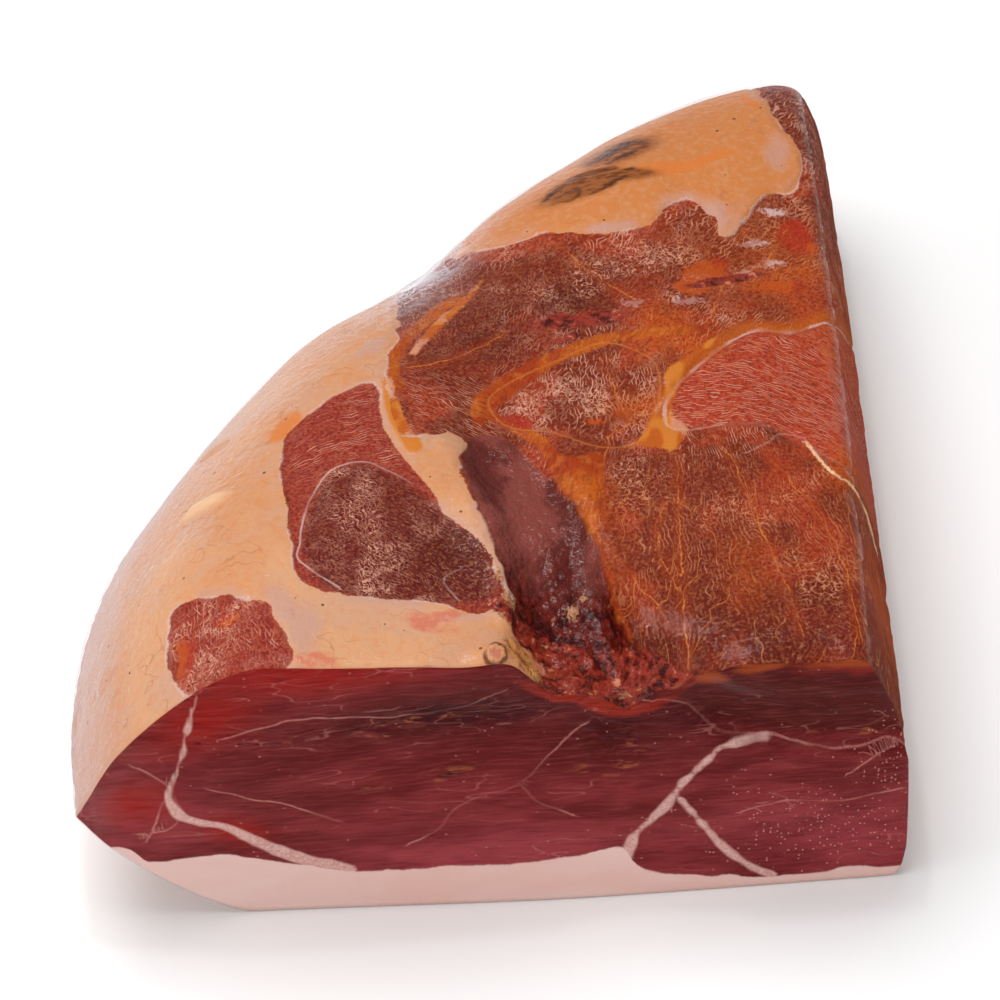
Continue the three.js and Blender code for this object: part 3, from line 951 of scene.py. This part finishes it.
    def lean(self):
        right, neck, node = self.parts("muscles")
        tendon, seam_off, seam_near = self.parts("bands")
        skin_off, skin_near, _ = self.parts("skins")
        tear, tear_near, inner = self.parts("tears")
        branching = self.parts("fibre")[2]
        self.bend = (self.noise(3.2, 1) - 0.5) * 2.4
        paint = Paint(LEAN_BROWN)
        paint(step(0.36, 0.64, self.flow), LEAN_RED)
        paint(step(-1.5, 2.5, right, 0, 0.8), RIGHT_RED)
        flank = self.stored("flank")
        paint(flank, FLANK_RED)
        paint(step(-1, 2.5, inner, 0, 0.8), INNER_WINE)
        glazed = self.glaze * step(0.3, 0.7, self.mottle, 0.4, 1)
        paint(glazed * 0.85, LEAN_ORANGE)
        # Painted shade: the lean is darkened over the shaded patches.
        shade = self.dark * step(0.2, 0.7, self.uneven, 0.5, 1)
        paint(shade * 0.85, LEAN_DARK_AND_SHADE)
        paint(step(0.5, 0.68, self.grain, 0, 0.22), MARBLE_ORANGE)
        paint(step(0.48, 0.34, self.grain, 0, 0.5), LEAN_DARK_AND_SHADE)

        # Marbling: dense short strands, squiggles, long veins, then the seams and sinews between the lobes
        sway = self.bend * 0.7 + self.drift * 3
        short = self.strands(spacing=0.85, slant=0, sway=sway, dash=3.4, thin=0.18, keep=0.4, seed=0)
        short = short * (1 - step(0.8, 0.95, branching, 0, 0.6))
        bend = self.bend * 0.8
        crossing = self.strands(spacing=1.25, slant=0.55, sway=bend, dash=2.6, thin=0.13, keep=0.5, seed=17.3)
        crossing = crossing * step(0.2, 0.5, branching)
        curls = self.squiggles(width=1.3, length=1.9, thin=0.065, seed=37.7)
        curls = curls * step(0.25, 0.7, branching) * step(0.36, 0.56, self.patchy)
        amount = step(0.34, 0.62, self.gate, 0.3, 1) * step(0.34, 0.62, self.uneven, 0.3, 1)
        # Marbling fades where shade is painted and on the orange glaze.
        calm = (1 - shade * 0.9) * (1 - glazed * 0.4)
        low = step(-40, -60, self.depth) * (1 - flank)
        marble = tint(self.glaze * 0.8 | low * 0.5, MARBLE, MARBLE_ORANGE)
        amount = amount | step(0, 3, right, 0, 0.95)
        fine = (short | crossing | curls) * amount * calm * step(-0.6, 0.2, self.bend, 0.6, 1)
        paint(fine * (1 - low * 0.3) * 0.95, marble)
        blood, bits, curly = self.parts("bits")
        bloody = step(0.35, 0.75, blood + self.fray * 0.9 + self.drift * 0.8)
        paint(bloody * 0.8, tint(step(0.4, 0.6, self.mottle), BLOOD_RED, LEAN_ORANGE))
        ragged_bits = bits + self.fray + self.bend * 0.5
        paint(step(0.5, 0.95, ragged_bits, 0, 0.7), tint(step(0.45, 0.7, self.gate), GREY_PINK, PALE_SKIN))
        curly = curly * step(0.35, 0.65, self.patchy, 0.55, 1) + self.drift
        loops = self.squiggles(width=1.5, length=2.1, thin=0.045, seed=11) * step(0.2, 0.95, curly)
        paint(loops * 0.75, marble)
        sway = self.drift * 6 + self.bend * 0.25
        long_veins = self.strands(spacing=4.5, slant=0, sway=sway, dash=17, thin=0.032, keep=0.5, seed=5.1)
        veins = self.strands(spacing=6.5, slant=0.3, sway=sway, dash=11, thin=0.022, keep=0.5, seed=61.9)
        veins = veins | long_veins
        paint(veins * (0.15 + low * 0.45), MARBLE_ORANGE)
        shaky = self.wander * 0.8 + self.fray
        paint(step(3.2, 0.4, seam_near) * 0.25, TENDON_BROWN)
        seam = step(0.26, 0.05, abs(seam_off + shaky * 1.1)) * step(2.2, 1.4, seam_near)
        paint(seam * step(0.35, 0.65, self.gate, 0.15, 0.85), MARBLE_ORANGE)
        upper_rim = step(-38, -30, self.depth)
        paint(step(-6.5, -0.5, right) * step(0.7, -0.2, right, 0, 0.75) * upper_rim, TENDON_ORANGE)
        sinew = tint(step(0.3, 0.7, self.mottle), TENDON_BROWN, TENDON_ORANGE)
        sinew = tint(step(0, 0.5, self.bend, 0, 0.45), sinew, NODE_YELLOW)
        sinew = tint(step(0.5, 0.3, self.grain, 0, 0.45), sinew, TENDON_BROWN)
        sinew = tint(self.squiggles(width=1.1, length=9, thin=0.07, seed=3.3) * 0.5, sinew, LEAN_BROWN)
        paint(step(-0.7, 0.5, tendon + shaky, 0, 0.92), sinew)
        fatty = tint(step(0.35, 0.6, self.gate), NODE_YELLOW, TENDON_ORANGE)
        fatty = tint(step(0.52, 0.66, self.patchy * 0.7 + self.grain * 0.35, 0, 0.6), fatty, MARBLE)
        paint(step(-0.6, 0.6, node + shaky, 0, 0.95), fatty)
        paint(step(0.4, 0.12, abs(neck + self.fray)) * 0.45, MARBLE_ORANGE)
        skin = step(0.42, 0.12, abs(skin_off + shaky * 0.35)) * step(2, 1.2, skin_near)
        skin = skin * step(0.3, 0.6, self.patchy, 0.25, 0.8)
        ringed = step(0.7, 0.2, abs(right + shaky * 0.8)) * step(0.3, 0.55, self.patchy, 0.15, 0.85)
        paint((skin | ringed * (0.2 + upper_rim * 0.8)) * 0.65, PALE_SKIN)
        torn = step(0.55, 0.15, abs(tear + self.fray)) * step(2.4, 1.2, tear_near)
        paint(torn * step(0.25, 0.5, self.gate, 0.35, 0.9), TORN_FAT)
        return paint.colour, self.grain + self.bend * 0.2

    def hollow(self, colour, height, rough, coated):
        """The hollow that the bone left, the torn flesh at its mouth and the wet red spot."""
        paint = Paint(colour)
        in_pit = step(-0.5, 1, self.pit + self.wander)
        shreds = self.noise(3.2, 3, 0.7)
        deep = tint(step(0.4, 0.6, shreds), WINE, WINE_RED)
        clean = step(-92, -70, self.depth + self.wander * 4)
        lining = tint(step(0.4, 0.68, self.mottle + self.fray * 0.4), MEMBRANE, MEMBRANE_DARK)
        crust = step(0.6, 0.68, shreds) * step(0.5, 0.64, self.gate) * step(-84, -92, self.depth) * 0.6
        paint(in_pit, tint(crust, tint(clean, deep, lining), CRUST))
        torn = tint(step(0.38, 0.56, shreds), SHRED_DARK, SHRED_RED)
        torn = tint(step(0.6, 0.7, shreds, 0, 0.8), torn, SHRED_PALE)
        is_torn = step(0.35, 0.7, self.ragged + self.fray * 0.5)
        is_wet = step(0.35, 0.6, self.wet + self.fray * 0.4)
        paint(is_torn | is_wet, torn)
        rubble = step(0.35, 0.7, self.rubble + shreds * 0.3) * step(-88, -96, self.depth)
        paint(rubble, tint(step(0.45, 0.62, shreds), CRUMBLED, CRUMBLED_DARK))
        crumbs = step(0.35, 0.6, self.crumbs * (0.8 + self.fray * 2))
        paint(crumbs, tint(step(0.45, 0.65, self.grain), CRUST, CRUMBLED_DARK))
        tube = self.tube + shreds * 2.4
        edge = step(1, 0.2, abs(tube - (TUBE_RADIUS + 1.2)))
        paint(edge * step(0.42, 0.6, self.gate) * 0.8, SHRED_DARK)
        core = step(TUBE_RADIUS + 0.5, TUBE_RADIUS - 0.7, tube)
        paint(core * 0.85, TUBE_CORE)
        blister = self.cells(2.6)[0] * fade(clean, -3.2, -2)
        any_wet = in_pit | is_torn | is_wet
        height = fade(any_wet, height, blister + self.grain * 1.3)
        wet_film = step(0.4, 0.6, self.grain * 0.6 + shreds * 0.4)
        coated = fade(any_wet, coated, wet_film * 0.75)
        return paint.colour, height, fade(any_wet, rough, 0.35), coated


CUT_RED = (0.2, 0.021, 0.022)
CUT_ROSE = (0.13, 0.011, 0.011)
CUT_BRIGHT = (0.3, 0.008, 0.004)
CUT_DARK_AND_SHADE = (0.034, 0.003, 0.004)
CUT_PALE = (0.33, 0.048, 0.058)
CUT_LOBE_SHADE = (0.07, 0.006, 0.005)
CUT_LIP = (0.3, 0.02, 0.009)
CUT_LIP_PALE = (0.55, 0.17, 0.085)
CUT_FAT = (0.76, 0.53, 0.485)
CUT_FAT_WARM = (0.74, 0.46, 0.4)
CUT_VEIN = (0.5, 0.19, 0.16)
CUT_SEAM = (0.7, 0.43, 0.38)
CUT_SEAM_DULL = (0.56, 0.28, 0.24)
CUT_STREAK = (0.27, 0.05, 0.046)
CUT_SPECK = (0.66, 0.32, 0.25)
CUT_AMBER = (0.34, 0.06, 0.012)
CUT_SPLIT = (0.03, 0.006, 0.006)
CUT_RUST = (0.3, 0.08, 0.035)


def cut_material():
    net = Net("meat_cut")
    lean, seams, near = net.parts("cut_zones")
    vein, lobe, lip = net.parts("cut_lines")
    bright, dark, pale = net.parts("cut_tones")
    wander, flow, uneven = net.parts("cut_flows")
    crack, flecks, speck_zone = net.parts("cut_marks")
    fine_noise = net.noise(0.8, 2) - 0.5
    jagged = wander * 0.8 + fine_noise * 0.7

    paint = Paint(CUT_ROSE)
    paint(step(0.3, 0.7, flow), CUT_RED)
    paint(pale * step(0.2, 0.8, flow, 0.4, 0.9), CUT_PALE)
    # Painted shade on the cut: darker under the top edge, where the face bends back, and below the
    # overhanging lobe.
    paint(dark * step(0.25, 0.7, flow, 0.65, 1), CUT_DARK_AND_SHADE)
    # Brighter red patches. The band under the thin upper edge at the left is painted light shining through
    # the edge.
    paint(bright * 0.9, CUT_BRIGHT)
    # Painted shade on the lobe's face above the seam, which leans out and faces down.
    paint(lobe * 0.85, CUT_LOBE_SHADE)
    # The lip has two parts: the red torn flap, and at the right a brighter red band under the top edge that
    # is painted light shining through the thin lip.
    raw = lip + jagged * 0.25
    paint(step(0.2, 0.9, raw) * step(0.25, 0.6, flow, 0.35, 0.85), CUT_LIP)
    paint(step(0.7, 0.95, raw) * step(0.48, 0.62, uneven) * 0.4, CUT_LIP_PALE)
    paint(step(0.3, 0.8, net.stored("amber") + jagged * 0.3, 0, 0.8), CUT_AMBER)
    streaks = net.noise(0.8, 2, stretch=0.11)
    paint(step(0.48, 0.72, streaks, 0, 0.32), CUT_STREAK)
    paint(step(0.5, 0.32, streaks, 0, 0.3), CUT_DARK_AND_SHADE)
    crumbly = net.noise(2.2, 3, 0.7, stretch=0.3)
    split = step(0.7, 0.2, crack + jagged * 0.8)
    paint(split * step(0.4, 0.55, crumbly) * 0.85, CUT_SPLIT)
    paint(step(0.55, 0.66, crumbly) * step(0.15, 0.75, flecks) * 0.75, CUT_RUST)
    distance, chance, *_ = net.cells(0.95)
    seldom = 0.97 - speck_zone * 0.4
    dots = step(0.36, 0.16, distance) * step(0, 0.03, chance - seldom) * 0.75
    paint(dots, CUT_SPECK)

    # Thin veins, thick fat seams and the fat at the foot
    thin = step(0.5, 0.15, abs(vein + jagged * 0.7)) * step(2.2, 1.2, near)
    thin = thin * step(0.3, 0.6, uneven, 0.2, 0.7) * step(-0.15, 0.05, fine_noise, 0.55, 1)
    paint(thin, CUT_VEIN)
    wisp = step(0.014, 0.003, abs(net.noise(5, 1, stretch=0.3) - 0.5))
    paint(wisp * step(0.55, 0.7, flow) * 0.3, CUT_VEIN)
    fibrous = step(0.35, 0.65, fine_noise * 0.9 + 0.5)
    paint(step(-0.5, 0.6, seams + jagged, 0, 0.92), tint(fibrous, CUT_SEAM, CUT_SEAM_DULL))
    paint(step(0.45, -0.45, lean + jagged), tint(flow, CUT_FAT, CUT_FAT_WARM))
    height = crumbly * step(0, 1, dark, 0.8, 2)
    inputs = {
        "Base Color": paint.colour, "Roughness": step(0.3, 0.7, crumbly, 0.3, 0.44),
        "Normal": net.bump(height + fine_noise * 0.6, 0.3, 0.7), "IOR": MOIST_IOR,
        "Specular IOR Level": 0.04,
    }
    return net.finish(net.add("BsdfPrincipled", inputs))


def film_material():
    net = Net("clear_film")
    crease, fold, loose = net.parts("crease")
    side, left, _ = net.parts("sides")
    ripple = net.noise(2.4, 1)
    wrinkle = step(0.055, 0, abs(ripple - 0.5))
    wrinkle = wrinkle * crease | fold
    normal = net.bump(ripple + wrinkle * 0.7, 0.55, 0.8)
    gloss = net.add("BsdfGlossy", {"Color": (1, 1, 1), "Roughness": 0.08, "Normal": normal})
    clear = net.add("BsdfTransparent", {"Color": (1, 1, 1)})
    fresnel = net.add("Fresnel", {"IOR": 1.3, "Normal": normal})
    share = fresnel * fade(loose, 0.05, 0.32) + wrinkle * 0.2
    share = fade(side, share, 0.022)
    shiny = net.add("MixShader", {0: share, 1: clear, 2: gloss})
    # Painted sheen: a pale diffuse layer stands in for the film's reflection. It lies on the film at its
    # creases and, on the left, where the film is seen edge-on.
    painted_sheen = net.add("BsdfDiffuse", {"Color": (0.75, 0.75, 0.82)})
    grazing = net.add("LayerWeight", {"Blend": 0.5, "Normal": normal}, "Facing")
    grazing = step(0.5, 1, grazing, 0, 0.22) * left
    sheen_share = crease * (0.05 + wrinkle * 0.65) + grazing
    return net.finish(net.add("MixShader", {0: sheen_share, 1: shiny, 2: painted_sheen}))


# Pieces

points, faces, is_cut = body(COLUMNS, SECTIONS, CUT_ROWS)
facing = normals(points, faces)
on_cut = np.zeros(len(points), bool)
on_cut[faces[is_cut].ravel()] = True
facts = survey(points)
facts |= survey_cut(points)
lift = np.where(on_cut, cut_relief_fine(points, facts), relief(points, facts))
above_table = smooth(0.5, 6, points[:, 2])
points = points + facing * (lift * above_table)[:, None]
points[:, 2] = np.maximum(points[:, 2], 0)
facts |= {
    "height": points[:, 2], "wander": 2 * cloud(points, 5, 7, 2) - 1, "drift": cloud(points, 7, 8, 2) - 0.5,
    "broad": cloud(points, 38, 1), "mottle": cloud(points, 11, 2), "flow": cloud(points, 16, 3),
    "gate": cloud(points, 3.6, 4, 1), "patchy": cloud(points, 8, 5, 2), "uneven": cloud(points, 14, 6, 2),
    "streaky": cloud(points * (0.3, 1, 1), 7, 9),
}

# What the points store for the materials, up to three numbers under one name
STORED = {
    "lean_zones": "lean islands hollow", "muscles": "right neck node", "bands": "tendon seam seam_near",
    "skins": "skin skin_near drip", "bits": "blood bits curly", "tears": "tear tear_near inner",
    "flank": "island_share", "crumbs": "crumbs rubble tube", "scorch": "scorch",
    "marks": "brown orange lilac", "tones": "glaze dark pink", "wetness": "ragged wet height",
    "fibre": "across along net", "flows": "broad mottle flow", "gates": "gate patchy uneven",
    "drifts": "wander drift", "cut_flows": "wander streaky uneven", "cut_zones": "cut_lean seams near",
    "cut_lines": "vein lobe lip", "amber": "amber", "cut_marks": "crack flecks specks",
    "cut_tones": "bright shaded pale",
}
meat = mesh_object("meat", points, faces)
for name, channels in STORED.items():
    store(meat, name, *(facts[channel] for channel in channels.split()))

border = np.maximum(facts["lean"], facts["islands"])
torn = np.maximum.reduce([facts[name] for name in ("ragged", "wet", "crumbs", "rubble")])
special = (facts["hollow"] > -3) | (torn > 0.1) | (facts["tube"] < 2 * TUBE_RADIUS)

# Which material each face takes
FAT, LEAN, BORDER, HOLLOW_MOUTH, SIDE, CUT = range(6)
BORDER_MARGIN = 4
kind = np.full(len(faces), BORDER)
kind[(border[faces] < -BORDER_MARGIN).all(1)] = FAT
kind[(border[faces] > BORDER_MARGIN).all(1)] = LEAN
kind[special[faces].any(1)] = HOLLOW_MOUTH
kind[(facing[faces, 0] > 0.85).all(1) & ~is_cut] = SIDE
kind[is_cut] = CUT
variants = [
    dict(name="meat_fat", fat=True, gloss=0.1),
    dict(name="meat_lean", lean=True, gloss=0.07),
    dict(name="meat_border", fat=True, lean=True, gloss=0.08),
    dict(name="meat_hollow", fat=True, lean=True, pit=True, gloss=0.09),
    dict(name="meat_side", fat=True, lean=True, side=True),
]
for variant in variants:
    meat.data.materials.append(Outside(**variant).material)
meat.data.materials.append(cut_material())
meat.data.polygons.foreach_set("material_index", kind.astype(np.int32))
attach(meat, "root")
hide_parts("ham")

points, faces, _ = body(FILM_COLUMNS, FILM_SECTIONS, FILM_ROWS, FILM_DIP)
facing = normals(points, faces)
x, y, z = points.T
crease = patches(FILM_CREASES, x, y)
crease = np.maximum(crease, 0.45 * swelling(x, y, *FLANK_CREASES))
crease = crease * smooth(WIDEST_LEVEL - 25, WIDEST_LEVEL + 5, z)
folds = crease * (1 - abs(noise(points * (1, 0.3, 0.5), 3, 21))) ** 4
lift = FILM_GAP + CREASE_HEIGHT * folds
points = points + facing * lift[:, None]
points[:, 2] = np.maximum(points[:, 2], FILM_FLOOR)
film = mesh_object("film", points, faces)
calm = 1 - 0.75 * smooth(-4, 4, inside(loop(BORDERS["hollow"]), x, y))
store(film, "crease", crease, folds, smooth(0.35, 0.8, facing[:, 2]) * calm)
store(film, "sides", smooth(0.5, 0.9, facing[:, 0]), smooth(0.05, 0.5, -facing[:, 0]))
film.visible_shadow = False
film.visible_diffuse = False
film.data.materials.append(film_material())
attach(film, "root")

# Table, light and camera

TABLE_LEVEL = -0.0004
bpy.ops.mesh.primitive_plane_add(size=6, location=(0, 0, TABLE_LEVEL))
table = bpy.context.object
table.name = "table"
net = Net("pale_table")
net.finish(net.add("BsdfPrincipled", {"Base Color": (0.95, 0.95, 0.95), "Roughness": 0.8}))
table.data.materials.append(net.material)


def lamp(name, place, target, size, watts):
    light = bpy.data.lights.new(name, "AREA")
    light.shape = "RECTANGLE"
    light.size, light.size_y = size
    light.energy = watts
    holder = put(name, light)
    holder.location = place
    holder.rotation_euler = (Vector(target) - Vector(place)).to_track_quat("-Z", "Y").to_euler()


lamp("softbox_top", (-0.25, 0.12, 1.3), (0, 0, 0), (0.8, 0.8), 13)
lamp("softbox_front", (0.1, -1.3, 0.55), (0, 0, 0.04), (1.2, 0.6), 4.6)
lamp("softbox_left", (-1.3, -0.2, 0.6), (0, 0, 0.05), (0.6, 0.9), 4)
lamp("glint", (-0.12, 0.05, 1.25), (0, 0, 0), (0.06, 0.06), 1)

world = bpy.data.worlds.new("studio")
scene.world = world
world.use_nodes = True
background = world.node_tree.nodes["Background"].inputs
background["Color"].default_value = (1, 1, 1, 1)
background["Strength"].default_value = 0.36
scene.view_settings.view_transform = "Standard"

AZIMUTH, ELEVATION = -5, 50  # degrees, from the front towards the left and up
DISTANCE = 1.5
TARGET = Vector((0.00743, -0.01877, 0.045))
a, e = math.radians(AZIMUTH), math.radians(ELEVATION)
back = Vector((math.sin(a) * math.cos(e), -math.cos(a) * math.cos(e), math.sin(e)))
right = Vector((math.cos(a), math.sin(a), 0))
up = back.cross(right)
camera_data = bpy.data.cameras.new("camera")
camera_data.sensor_width = 36
camera_data.lens = 200
camera = put("camera", camera_data)
camera.matrix_world = Matrix((right, up, back)).transposed().to_4x4()
camera.location = TARGET + back * DISTANCE
bpy.context.scene.camera = camera
